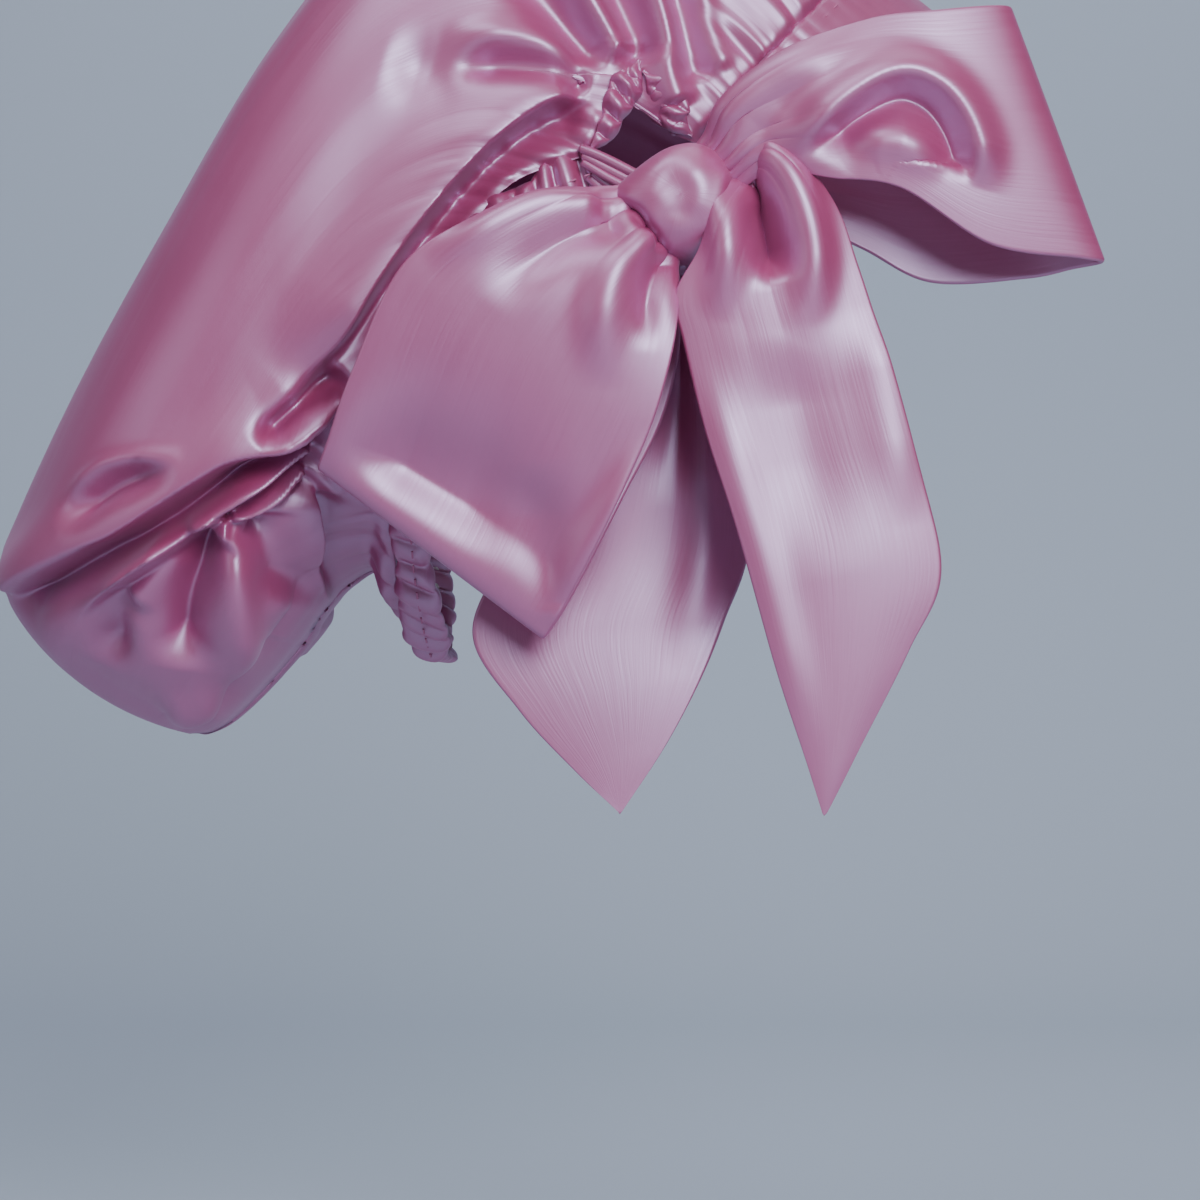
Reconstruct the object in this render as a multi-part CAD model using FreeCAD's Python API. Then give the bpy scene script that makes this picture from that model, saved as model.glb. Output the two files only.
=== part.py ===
import FreeCAD
import Part
import math
import os

# Tie-on satin bonnet with a bow at the wearer's right temple, as worn on an upright head.
# Millimetres. +X is the way the wearer faces, +Y the wearer's left, +Z up.
# The origin is the centre of the head opening.

# Driving dimensions.
cloth = 2.0                # wall of the gathered bag: satin with its small pleats
tail_cloth = 2.4           # a tail: a satin tube pressed flat
band_width = 25.0
band_cloth = 2.6
band_gap = 0.6             # clearance between the bag's raw edge and the band
band_half = (90.0, 81.0)   # half height in the seam plane, and half width, inside the band
band_end = 80.0            # how far down the seam the band runs on each side
casing_radius = 4.5
casing_wall = 2.6          # the bunched pleats of the casing, round the elastic
elastic_radius = 1.5
thread_radius = 0.3
stitch_length = 2.4
stitch_pitch = 5.0
stitch_lift = 0.35         # a stitch's axis above the cloth that it lies on
tack_radius = 0.6          # the two rows of thread that hold the elastic's ends
knot_centre = FreeCAD.Vector(3.5, -101.0, 24.5)
knot_radius = 18.5         # of the wrap, at the middle of its width
knot_edge_radius = 13.5    # of the wrap, at its two edges
knot_width = 26.0
knot_core_radius = 11.8
knot_core_width = 31.0
knot_clear = 21.0          # loops and tails start outside this sphere round the knot
loop_front_aim = (108.0, 41.0)    # x and z that each loop points at from the knot
loop_back_aim = (-63.0, -72.0)
tie_layer = (-81.6, -79.2)  # y of the two ties where they run in behind the knot
section_power = 2.6        # boxiness of the bag's cross-sections
far_y = 200.0              # reach of every through cut

# The bag in side view, as (crown x, crown z, nape x, nape z, half width) of each
# cross-section from the head opening back to the end of the pouch.
bag_sections = [
    (66.0, 108.0, -66.0, -104.5, 76.0),
    (45.0, 133.0, -71.0, -98.0, 80.0),
    (11.0, 147.0, -79.0, -85.0, 83.0),
    (-29.0, 148.0, -86.0, -75.0, 86.0),
    (-73.0, 129.0, -95.0, -80.0, 88.0),
    (-110.0, 85.0, -102.0, -88.0, 89.0),
    (-144.0, 26.0, -109.0, -98.0, 86.0),
    (-175.0, -29.0, -119.0, -110.0, 77.0),
    (-196.0, -68.0, -131.0, -122.0, 62.0),
    (-203.0, -84.0, -141.0, -129.0, 44.0),
]
rows_along = 28            # cross-sections that the bag's surface passes through
points_round = 48          # points on each of them

# The seam to the band is straight in side view, from the forehead to above the temple.
seam_top = FreeCAD.Vector(66.0, 0, 108.0)
seam_low = FreeCAD.Vector(10.0, 0, 42.0)
# The bag's lower edge in side view, from the temple round behind the ear to the nape, and
# the centreline of the elastic casing that runs just in front of it.
ear_edge = [(-18, 40), (-43, 30), (-61, 6), (-72, -27), (-77, -56), (-77, -76), (-75.3, -88),
            (-72.5, -96)]
casing_line = [(-16, 34.9), (-39.6, 25.7), (-56.1, 3.5), (-66.7, -28.4), (-71.5, -56.6),
               (-71.3, -76), (-70, -90), (-68.5, -100.4)]
# The open slit in front of the temple, and the corners of the head opening's cut that lie
# clear of the cloth, below the nape, in front of the face and above the forehead.
slit = [(14, 36), (12, 46), (-6, 62), (-22, 40), (-22, 30)]
clear_corners = [(-68.5, -125), (120, -125), (120, 60), (106, 155)]


def vec(x, y, z):
    return FreeCAD.Vector(x, y, z)


def spline(points):
    curve = Part.BSplineCurve()
    curve.interpolate(points)
    return curve.toShape()


def outline(runs, place):
    """Closed wire from runs of points: two points make a line, more make a smooth curve."""
    edges = []
    for run in runs:
        points = [place(*p) for p in run]
        edges.append(Part.makeLine(*points) if len(points) == 2 else spline(points))
    return Part.Wire(edges)


def side_prism(runs, y_low=-far_y, y_high=far_y):
    """Solid from y_low to y_high over an outline drawn in side view."""
    face = Part.Face(outline(runs, lambda x, z: vec(x, y_low, z)))
    return face.extrude(vec(0, y_high - y_low, 0))


def polygon(points):
    """The runs of a straight-sided outline."""
    return [[a, b] for a, b in zip(points, points[1:] + points[:1])]


def bag_row(t):
    """Cross-section sizes at t, counted in sections from the head opening (Catmull-Rom)."""
    last = len(bag_sections) - 1
    i = min(int(t), last - 1)
    f = t - i

    def row(j):
        if j < 0:
            return [2 * a - b for a, b in zip(bag_sections[0], bag_sections[1])]
        if j > last:
            return [2 * a - b for a, b in zip(bag_sections[last], bag_sections[last - 1])]
        return bag_sections[j]

    four = zip(row(i - 1), row(i), row(i + 1), row(i + 2))
    return [b + 0.5 * f * (c - a + f * (2 * a - 5 * b + 4 * c - d + f * (3 * b - a - 3 * c + d)))
            for a, b, c, d in four]


def boxy(turn):
    """Cosine and sine of a boxy ellipse, starting at the crown."""
    c, s = math.cos(turn), math.sin(turn)
    power = 2 / section_power
    return math.copysign(abs(c) ** power, c), math.copysign(abs(s) ** power, s)


def bag_points(t, inset, shift):
    crown_x, crown_z, nape_x, nape_z, half_width = bag_row(t)
    crown, nape = vec(crown_x, 0, crown_z), vec(nape_x, 0, nape_z)
    half = (crown - nape) * 0.5
    along = half * (1 / half.Length)
    centre = (crown + nape) * 0.5 + vec(along.z, 0, -along.x) * shift
    points = []
    for i in range(points_round + 1):
        c, s = boxy(2 * math.pi * (i % points_round) / points_round)
        points.append(centre + along * (c * (half.Length - inset))
                      + vec(0, -s * (half_width - inset), 0))
    return points


def bag_solid(inset, mouth_shift, end_shift):
    """Closed solid through the bag's cross-sections, inset from the outside."""
    rows = []
    for i in range(rows_along + 1):
        shift = mouth_shift if i == 0 else end_shift if i == rows_along else 0.0
        rows.append(bag_points((len(bag_sections) - 1) * i / rows_along, inset, shift))
    surface = Part.BSplineSurface()
    surface.interpolate(rows)
    surface.setVPeriodic()
    side = surface.toShape()
    caps = [Part.Face(Part.Wire([edge])) for edge in side.Edges if edge.isClosed()]
    shell = Part.Shell([side] + caps)
    shell.sewShape()
    return Part.Solid(shell)


def wall_depth(solid, x, z):
    """Outermost y of the bag on the wearer's right, at a place in side view."""
    hit = Part.makeLine(vec(x, -far_y, z), vec(x, 0, z)).common(solid)
    return min(v.Y for v in hit.Vertexes)


def make_bag(whole):
    hollow = bag_solid(cloth, 1.0, -cloth)
    seam_end = (seam_low.x, seam_low.z)
    corners = [ear_edge[-1]] + clear_corners + [seam_end]
    straight = [[a, b] for a, b in zip(corners, corners[1:])]
    opening = side_prism([[seam_end, ear_edge[0]], ear_edge] + straight)
    slit_cut = side_prism(polygon(slit), -far_y, 0)
    return whole.cut(hollow).cut(opening).cut(slit_cut)


def seam_frame():
    """Top of the seam, the direction down it, and the normal that points forward."""
    down = (seam_low - seam_top).normalize()
    return seam_top, down, vec(-down.z, 0, down.x)


def seam_point(down_seam, out, forward, side=-1):
    """A point on the band: down the seam from its top, out from the band's inside, forward."""
    top, down, normal = seam_frame()
    half_height, half_width = band_half[0] + out, band_half[1] + out
    share = (band_half[0] - down_seam) / half_height
    y = half_width * math.sqrt(max(0.0, 1 - share * share))
    return top + down * down_seam + normal * forward + vec(0, side * y, 0)


def ellipse_slab(out, forward, depth):
    top, down, normal = seam_frame()
    centre = top + down * band_half[0] + normal * forward
    points = []
    for i in range(72):
        turn = 2 * math.pi * i / 72
        points.append(centre - down * ((band_half[0] + out) * math.cos(turn))
                      + vec(0, (band_half[1] + out) * math.sin(turn), 0))
    curve = Part.BSplineCurve()
    curve.interpolate(Points=points, PeriodicFlag=True)
    return Part.Face(Part.Wire(curve.toShape())).extrude(normal * depth)


def make_band():
    top, down, normal = seam_frame()
    ring = ellipse_slab(band_cloth, band_gap, band_width).cut(
        ellipse_slab(0.0, band_gap - 1, band_width + 2))
    corner = top + down * band_end
    low = [corner - normal * 60, corner + normal * 90,
           corner + normal * 90 + down * 160, corner - normal * 60 + down * 160]
    return ring.cut(side_prism(polygon([(p.x, p.z) for p in low])))


def casing_route(whole):
    """Centreline points of the casing, from the right temple round the nape to the left."""
    right = [vec(x, wall_depth(whole, x, z) + cloth / 2, z) for x, z in casing_line]
    left = [vec(p.x, -p.y, p.z) for p in reversed(right)]
    meet_band = left[-1] + vec(20, 1, 2)
    return right + left + [meet_band]


def arc_path(points):
    """Straight runs joined by tangent arcs, as large as the runs allow."""
    edges, radii = [], []
    start = points[0]
    for before, corner, after in zip(points, points[1:], points[2:]):
        back, on = before - corner, after - corner
        turn = math.pi - back.getAngle(on)
        trim = 0.45 * min(back.Length, on.Length)
        radii.append(trim / math.tan(turn / 2))
        back.normalize()
        on.normalize()
        enter, leave = corner + back * trim, corner + on * trim
        bisector = (back + on).normalize()
        centre = corner + bisector * (math.hypot(trim, radii[-1]))
        middle = centre - bisector * radii[-1]
        edges += [Part.LineSegment(start, enter).toShape(),
                  Part.Arc(enter, middle, leave).toShape()]
        start = leave
    edges.append(Part.LineSegment(start, points[-1]).toShape())
    print("casing arc radii", [round(r) for r in radii])
    return Part.Wire(edges)


def tube(path, radius):
    start = path.Edges[0]
    heading = start.tangentAt(start.FirstParameter)
    ring = Part.Wire(Part.makeCircle(radius, start.Vertexes[0].Point, heading))
    return path.makePipeShell([ring], True, False)


def stitches(places):
    """One short thread for each (middle, direction)."""
    return Part.makeCompound([
        Part.makeCylinder(thread_radius, stitch_length, p - d * (stitch_length / 2), d)
        for p, d in places])


def casing_stitch_places(path):
    count = int(path.Length / stitch_pitch)
    places = []
    points = path.discretize(Number=count + 2)
    for before, here, after in zip(points, points[1:], points[2:]):
        direction = (after - before).normalize()
        away = vec(-direction.z, 0, direction.x) * -1
        if away.Length < 0.3:
            away = vec(0, 0, -1)
        away = (away - direction * away.dot(direction)).normalize()
        side = direction.cross(away)
        if side.y * here.y < 0:
            side = side * -1
        places.append((here + side * (casing_radius + stitch_lift), direction))
    return places


def make_tacks(path):
    """Thread through the casing and the elastic, just inside each end."""
    reach = casing_radius - casing_wall / 2
    points = path.discretize(Number=100)
    return Part.makeCompound([
        Part.makeCylinder(tack_radius, 2 * reach, p - vec(0, 0, reach), vec(0, 0, 1))
        for p in (points[1], points[-2])])


def band_stitch_places():
    places = []
    for side in (-1, 1):
        down_seam = 6.0
        while down_seam < band_end - 4:
            near = seam_point(down_seam, band_cloth + stitch_lift, 3.0, side)
            ahead = seam_point(down_seam + 0.5, band_cloth + stitch_lift, 3.0, side)
            direction = (ahead - near).normalize()
            places.append((near, direction))
            down_seam += stitch_pitch * abs(direction.dot(seam_frame()[1]))
    return places


def revolved_knot_part(profile):
    """Solid turned about the knot's own axis, which lies along X."""
    face = Part.Face(outline(profile, lambda along, radius: knot_centre + vec(along, 0, radius)))
    return face.revolve(knot_centre, vec(1, 0, 0), 360)


def make_knot_wrap():
    half, gap = knot_width / 2, knot_core_radius + 0.2
    return revolved_knot_part([
        [(-half, gap), (-half, knot_edge_radius)],
        [(-half, knot_edge_radius), (-half * 0.6, knot_radius - 1.6), (0, knot_radius),
         (half * 0.6, knot_radius - 1.6), (half, knot_edge_radius)],
        [(half, knot_edge_radius), (half, gap)],
        [(half, gap), (-half, gap)]])


def make_knot_core():
    half = knot_core_width / 2
    return revolved_knot_part([
        [(-half, 0), (-half, knot_core_radius - 1.5)],
        [(-half, knot_core_radius - 1.5), (-half + 1.5, knot_core_radius)],
        [(-half + 1.5, knot_core_radius), (half - 1.5, knot_core_radius)],
        [(half - 1.5, knot_core_radius), (half, knot_core_radius - 1.5)],
        [(half, knot_core_radius - 1.5), (half, 0)],
        [(half, 0), (-half, 0)]])


def knot_ball():
    return Part.makeSphere(knot_clear, knot_centre)


def make_loop(plan, aim, outer_run, inner_run):
    """Ribbon folded back on itself: a hollow profile towards aim, cut to its side view."""
    heading = vec(aim[0] - knot_centre.x, 0, aim[1] - knot_centre.z).normalize()
    across = vec(heading.z, 0, -heading.x)

    def layer(run):
        def place(along, depth):
            return knot_centre + heading * along + vec(0, depth, 0) - across * far_y
        face = Part.Face(outline([run, [run[-1], run[0]]], place))
        return face.extrude(across * (2 * far_y))

    return side_prism(plan).common(layer(outer_run)).cut(layer(inner_run)).cut(knot_ball())


def make_tail(plan, hang):
    """Flat tail: hang is its outer face as (y, z) down the drop."""
    inner = [(y + tail_cloth, z) for y, z in hang]
    runs = [hang, [hang[-1], inner[-1]], inner[::-1], [inner[0], hang[0]]]
    face = Part.Face(outline(runs, lambda y, z: vec(-far_y, y, z)))
    sheet = face.extrude(vec(2 * far_y, 0, 0))
    return side_prism(plan).common(sheet).cut(knot_ball())


loop_front_plan = [
    [(8, 36), (19.6, 52), (35, 63.5), (56, 71.5), (92, 75.5)],
    [(92, 75.5), (120.5, 6.6)],
    [(120.5, 6.6), (102, 2.0), (73, 2.5), (58, 12), (47, 22), (24, 24)],
    [(24, 24), (8, 36)]]
loop_back_plan = [
    [(-6, 30), (-14, 28), (-41, 20.5), (-60.5, 10.4), (-71, 2)],
    [(-71, 2), (-82.5, -23), (-93.7, -48.6)],
    [(-93.7, -48.6), (-32, -95.3)],
    [(-32, -95.3), (-12.5, -57), (-4.5, -31), (-1.5, -6), (-3, 8)],
    [(-3, 8), (-6, 30)]]
tail_front_plan = [
    [(6, 4), (4.5, -6), (7.5, -23), (15.3, -50), (24.7, -85), (42.2, -142.3)],
    [(42.2, -142.3), (73.9, -76.6)],
    [(73.9, -76.6), (66, -45), (58.3, -15.3), (50, -4)],
    [(50, -4), (38, 5), (22, 8), (6, 4)]]
tail_back_plan = [
    [(-6, 8), (-22, -30), (-38, -64), (-47.6, -84), (-53, -95)],
    [(-53, -95), (-50.5, -102)],
    [(-50.5, -102), (-11.5, -144)],
    [(-11.5, -144), (10.7, -110), (23.5, -80)],
    [(23.5, -80), (25, -45), (15, -8), (8, 8)],
    [(8, 8), (-6, 8)]]
loop_outer = [(16, 5), (40, 7), (75, 7), (105, 3), (117, -4), (105, -13), (80, -19), (60, -18),
              (40, -12), (16, -5)]
loop_inner = [(32, -1), (50, 5.2), (75, 5.3), (103, 1.5), (113.5, -4.2), (103, -11.3),
              (80, -17.3), (60, -16), (50, -12.6), (32, -3)]
tail_front_hang = [(-117, 16), (-119, -30), (-120.5, -90), (-121, -148)]
tail_back_hang = [(-88, 16), (-89, -30), (-90, -90), (-89, -148)]
tie_front_plan = polygon([(15.2, 45), (32.6, 30.2), (20, 16), (5, 14), (5, 34)])
tie_back_plan = polygon([(3, 14), (3, 33), (-9, 33), (-20, 26), (-20, 18)])


def save(shape, node):
    shape.exportStep(f"parts/{node}.step")
    print(node, "valid" if shape.isValid() else "INVALID", len(shape.Solids), "solid,",
          round(shape.Volume / 1000, 2), "cm3")


def main():
    os.makedirs("parts", exist_ok=True)
    whole = bag_solid(0.0, 0.0, 0.0)
    save(make_bag(whole), "bag")
    save(make_band(), "front_band")
    save(stitches(band_stitch_places()), "band_stitches")

    route = casing_route(whole)
    path = arc_path(route)
    full = tube(path, casing_radius)
    print("casing", round(path.Length), "mm, volume share",
          round(full.Volume / (math.pi * casing_radius ** 2 * path.Length), 3))
    save(full.cut(tube(path, casing_radius - casing_wall)), "nape_casing")
    save(tube(path, elastic_radius), "nape_elastic")
    save(stitches(casing_stitch_places(path)), "casing_stitches")
    save(make_tacks(path), "elastic_tacks")

    save(make_knot_wrap(), "knot_wrap")
    save(make_knot_core(), "knot_core")
    save(side_prism(tie_front_plan, *tie_layer), "tie_front")
    save(side_prism(tie_back_plan, *tie_layer), "tie_back")
    save(make_loop(loop_front_plan, loop_front_aim, loop_outer, loop_inner), "loop_front")
    save(make_loop(loop_back_plan, loop_back_aim, loop_outer, loop_inner), "loop_back")
    save(make_tail(tail_front_plan, tail_front_hang), "tail_front")
    save(make_tail(tail_back_plan, tail_back_hang), "tail_back")


main()
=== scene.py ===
import bpy
import math
import numpy as np
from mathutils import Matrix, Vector


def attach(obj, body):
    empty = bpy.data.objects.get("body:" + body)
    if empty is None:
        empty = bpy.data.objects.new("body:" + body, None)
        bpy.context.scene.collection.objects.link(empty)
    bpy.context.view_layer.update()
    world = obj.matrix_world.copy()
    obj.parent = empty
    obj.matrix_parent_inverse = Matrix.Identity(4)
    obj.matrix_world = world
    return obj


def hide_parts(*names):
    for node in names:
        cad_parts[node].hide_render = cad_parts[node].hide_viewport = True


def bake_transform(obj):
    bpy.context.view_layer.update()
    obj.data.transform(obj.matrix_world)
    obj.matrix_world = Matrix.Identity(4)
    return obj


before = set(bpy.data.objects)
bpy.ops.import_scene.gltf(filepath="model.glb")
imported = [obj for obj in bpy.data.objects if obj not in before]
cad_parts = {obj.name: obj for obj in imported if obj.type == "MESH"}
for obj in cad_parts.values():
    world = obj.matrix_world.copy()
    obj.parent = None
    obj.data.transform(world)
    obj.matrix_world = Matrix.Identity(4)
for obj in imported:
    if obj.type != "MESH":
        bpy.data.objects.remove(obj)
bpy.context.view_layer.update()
mm = 0.001


# Shapes are worked out in millimetres and turned into metres when a mesh is made.
def blendRows(a, b, c, d, f):
    # between b and c at share f, with a and d as the neighbours (Catmull-Rom)
    return b + 0.5 * f * (c - a + f * (2 * a - 5 * b + 4 * c - d + f * (3 * b - a - 3 * c + d)))


def runAlong(points):
    # distance along a line of points, from its start to each point
    return np.concatenate([[0], np.cumsum(np.linalg.norm(np.diff(points, axis=0), axis=1))])


def smoothRows(rows, count):
    # a smooth blend through rows of numbers, at evenly spaced places
    p = np.array(rows, float)
    ends = np.vstack([2 * p[0] - p[1], p, 2 * p[-1] - p[-2]])
    f = np.linspace(0, 1, 20, endpoint=False)[:, None]
    fine = []
    for a, b, c, d in zip(ends, ends[1:], ends[2:], ends[3:]):
        fine.append(blendRows(a, b, c, d, f))
    fine = np.vstack(fine + [p[-1:]])
    run = runAlong(fine)
    at = np.linspace(0, run[-1], count)
    return np.stack([np.interp(at, run, fine[:, k]) for k in range(p.shape[1])], 1)


def smoothStep(x):
    x = np.clip(x, 0, 1)
    return x * x * (3 - 2 * x)


def lineNoise(at, size, seed):
    # soft random wave between -1 and 1 along a line, with bumps about size long
    values = np.random.default_rng(seed).uniform(-1, 1, 4096)
    place = at / size
    low = np.floor(place).astype(int)
    f = smoothStep(place - low)
    return values[low % 4096] * (1 - f) + values[(low + 1) % 4096] * f


def gathers(at, away, pitch, lift, reach, seed):
    # rounded pleats with sharp valleys between: at runs along the gathered edge, away from it
    warped = at + 0.28 * pitch * lineNoise(at, pitch * 1.7, seed)
    index = np.floor(warped / pitch).astype(int)
    pick = np.random.default_rng(seed + 1)
    size = pick.uniform(0.45, 1.15, 2048)[index % 2048]
    length = pick.uniform(reach[0], reach[1], 2048)[index % 2048]
    bump = np.abs(np.sin(np.pi * (warped / pitch))) ** 0.8
    return lift * size * bump * np.exp(-(away / length) ** 1.3)


def foldShift(side, folds):
    # how far each point moves out, from folds drawn in side view; side is (x, z) of each point
    shift = np.zeros(len(side))
    for fold in folds:
        line = smoothRows(fold["path"], 90)
        width, lift = fold["width"], fold["lift"]
        drop, low, edge = fold.get("drop", 0.0), fold.get("low", width), fold.get("edge", width)
        reach = 3 * max(width, low)
        near = np.nonzero(((side > line.min(0) - reach) & (side < line.max(0) + reach)).all(1))[0]
        if not len(near):
            continue
        q = side[near]
        nearest = ((q[:, None] - line[None]) ** 2).sum(2).argmin(1)
        tangent = np.gradient(line, axis=0)
        spacing = np.linalg.norm(tangent, axis=1)
        t = (tangent / spacing[:, None])[nearest]
        gap = q - line[nearest]
        half = 0.5 * spacing[nearest]
        slide = np.clip((gap * t).sum(1), -half, half)
        cross = t[:, 0] * gap[:, 1] - t[:, 1] * gap[:, 0]
        across = np.copysign(np.linalg.norm(gap - t * slide[:, None], axis=1), cross)
        s = np.clip((nearest + slide / spacing[nearest]) / (len(line) - 1), 0, 1)
        fadeIn, fadeOut = fold.get("fade", (0.3, 0.3))
        strength = np.ones(len(s))
        if fadeIn:
            strength *= smoothStep(s / fadeIn)
        if fadeOut:
            strength *= smoothStep((1 - s) / fadeOut)
        upper = lift * np.exp(-(across / width) ** 2)
        lower = (lift + drop) * np.exp(-(across / edge) ** 2) - drop * np.exp(-(across / low) ** 2)
        shift[near] += strength * np.where(across > 0, upper, lower)
    return shift


def gridNormals(points, ring):
    if ring:
        wrapped = np.concatenate([points[:, -1:], points, points[:, :1]], 1)
        across = wrapped[:, 2:] - wrapped[:, :-2]
    else:
        across = np.gradient(points, axis=1)
    down = np.gradient(points, axis=0)
    n = np.cross(across, down)
    return n / np.maximum(np.linalg.norm(n, axis=2), 1e-9)[..., None]


def gridMesh(name, points, across, down, ring=False, capped=False):
    # mesh over a grid of points; across and down are the cloth's own measures, kept as UVs
    rows, cols = points.shape[:2]
    r, c = np.meshgrid(np.arange(rows - 1), np.arange(cols if ring else cols - 1), indexing="ij")
    corners = [(r, c), (r, c + 1), (r + 1, c + 1), (r + 1, c)]
    quads = np.stack([i * cols + j % cols for i, j in corners], -1).reshape(-1, 4)
    uv = np.stack([np.stack([across[j], down[i]], -1) for i, j in corners], 2).reshape(-1, 2) * mm
    mesh = bpy.data.meshes.new(name)
    faces = [tuple(q) for q in quads.tolist()]
    if capped:
        faces.append(tuple(range(cols - 1, -1, -1)))
        faces.append(tuple(range((rows - 1) * cols, rows * cols)))
    mesh.from_pydata((points.reshape(-1, 3) * mm).tolist(), [], faces)
    layer = mesh.uv_layers.new(name="cloth")
    flat = np.zeros((len(mesh.loops), 2), np.float32)
    flat[:len(uv)] = uv
    layer.data.foreach_set("uv", flat.ravel())
    mesh.polygons.foreach_set("use_smooth", [True] * len(mesh.polygons))
    mesh.update()
    piece = bpy.data.objects.new(name, mesh)
    bpy.context.scene.collection.objects.link(piece)
    return piece


def tidyMesh(piece):
    # weld collapsed points and face everything outwards
    bpy.context.view_layer.objects.active = piece
    bpy.ops.object.select_all(action="DESELECT")
    piece.select_set(True)
    bpy.ops.object.mode_set(mode="EDIT")
    bpy.ops.mesh.select_all(action="SELECT")
    bpy.ops.mesh.remove_doubles(threshold=0.00002)
    bpy.ops.mesh.normals_make_consistent(inside=False)
    bpy.ops.object.mode_set(mode="OBJECT")


def thicken(piece, thickness):
    solid = piece.modifiers.new("cloth thickness", "SOLIDIFY")
    solid.thickness = thickness * mm
    solid.offset = -1
    bpy.context.view_layer.objects.active = piece
    bpy.ops.object.modifier_apply(modifier=solid.name)


def finish(piece, material, body, nodes):
    piece.data.materials.append(material)
    if body:
        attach(piece, body)
    if nodes:
        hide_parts(*nodes)
    return piece


def ribbonSamples(width, thickness, count):
    # places across a ribbon, closer together towards its two folded edges
    e = min(0.3, 0.5 * thickness / width)
    rim = e * np.array([0.0, 0.06, 0.22, 0.5, 0.8])
    return np.concatenate([rim, np.linspace(e, 1 - e, count), 1 - rim[::-1]]), e


def ribbon(name, rows, count, acrossCount, thickness, shape=None):
    # flat tube of cloth through rows of (left x y z, right x y z, arch), each across the ribbon
    sections = smoothRows(rows, count)
    left, right, arch = sections[:, 0:3], sections[:, 3:6], sections[:, 6]
    width = np.linalg.norm(right - left, axis=1)
    w, e = ribbonSamples(np.percentile(width, 80), thickness, acrossCount)
    surface = left[:, None] * (1 - w)[None, :, None] + right[:, None] * w[None, :, None]
    surface[..., 1] -= arch[:, None] * (1 - (2 * w - 1) ** 2)[None]
    middle = 0.5 * (left + right)
    run = runAlong(middle)
    normals = gridNormals(surface, False)
    facing = -np.sign(normals[:count // 3, :, 1].mean())
    if shape:
        surface = surface + facing * normals * shape(surface, w, run)[..., None]
        normals = gridNormals(surface, False)
    rim = np.clip((np.abs(2 * w - 1) - (1 - 2 * e)) / (2 * e), 0, 1)
    half = 0.5 * thickness * np.sqrt(np.maximum(1 - rim ** 2, 0))[None, :, None]
    front, back = surface + normals * half, surface - normals * half
    closed = np.concatenate([front, back[:, -2:0:-1]], 1)
    measure = w * width.max()
    around = np.concatenate([measure, measure[-1] * 2 - measure[-2:0:-1], [2 * measure[-1]]])
    piece = gridMesh(name, closed, around, run, ring=True, capped=True)
    tidyMesh(piece)
    return piece


def satinWeaveGroup():
    # colour, roughness and height of satin: threads along the cloth, and soft patches over it
    group = bpy.data.node_groups.new("satinWeave", "ShaderNodeTree")
    face = group.interface
    for name, kind, start in (("Light", "NodeSocketColor", (0.8, 0.4, 0.6, 1)),
                              ("Deep", "NodeSocketColor", (0.6, 0.2, 0.4, 1)),
                              ("Thread pitch", "NodeSocketFloat", 0.0009),
                              ("Patch size", "NodeSocketFloat", 0.03)):
        face.new_socket(name=name, in_out="INPUT", socket_type=kind).default_value = start
    for name, kind in (("Color", "NodeSocketColor"), ("Roughness", "NodeSocketFloat"),
                       ("Height", "NodeSocketFloat")):
        face.new_socket(name=name, in_out="OUTPUT", socket_type=kind)
    nodes, links = group.nodes, group.links
    start = nodes.new("NodeGroupInput")
    end = nodes.new("NodeGroupOutput")
    place = nodes.new("ShaderNodeTexCoord")

    def combine(kind, a, b):
        node = nodes.new("ShaderNodeMath")
        node.operation = kind
        for socket, value in zip(node.inputs, (a, b)):
            if isinstance(value, (int, float)):
                socket.default_value = value
            else:
                links.new(value, socket)
        return node.outputs[0]

    def mixed(threadShare, patchShare):
        fromThreads = combine("MULTIPLY", threads.outputs[0], threadShare)
        fromPatches = combine("MULTIPLY", patches.outputs[0], patchShare)
        return combine("ADD", fromThreads, fromPatches)

    pitch = combine("DIVIDE", 1.0, start.outputs["Thread pitch"])
    threads = nodes.new("ShaderNodeTexNoise")
    stretch = nodes.new("ShaderNodeVectorMath")
    stretch.operation = "MULTIPLY"
    stretch.inputs[1].default_value = (1.0, 0.03, 1.0)  # threads run down the cloth
    links.new(place.outputs["UV"], stretch.inputs[0])
    links.new(stretch.outputs[0], threads.inputs["Vector"])
    links.new(pitch, threads.inputs["Scale"])
    threads.inputs["Detail"].default_value = 2.0
    patches = nodes.new("ShaderNodeTexNoise")
    links.new(place.outputs["Object"], patches.inputs["Vector"])
    patchScale = combine("DIVIDE", 1.0, start.outputs["Patch size"])
    links.new(patchScale, patches.inputs["Scale"])
    patches.inputs["Detail"].default_value = 3.0
    share = mixed(0.55, 0.45)
    mix = nodes.new("ShaderNodeMix")
    mix.data_type = "RGBA"
    links.new(share, mix.inputs["Factor"])
    links.new(start.outputs["Deep"], mix.inputs[6])
    links.new(start.outputs["Light"], mix.inputs[7])
    links.new(mix.outputs[2], end.inputs["Color"])
    links.new(mixed(0.12, 0.08), end.inputs["Roughness"])
    links.new(threads.outputs[0], end.inputs["Height"])
    return group


satinWeave = satinWeaveGroup()


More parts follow.
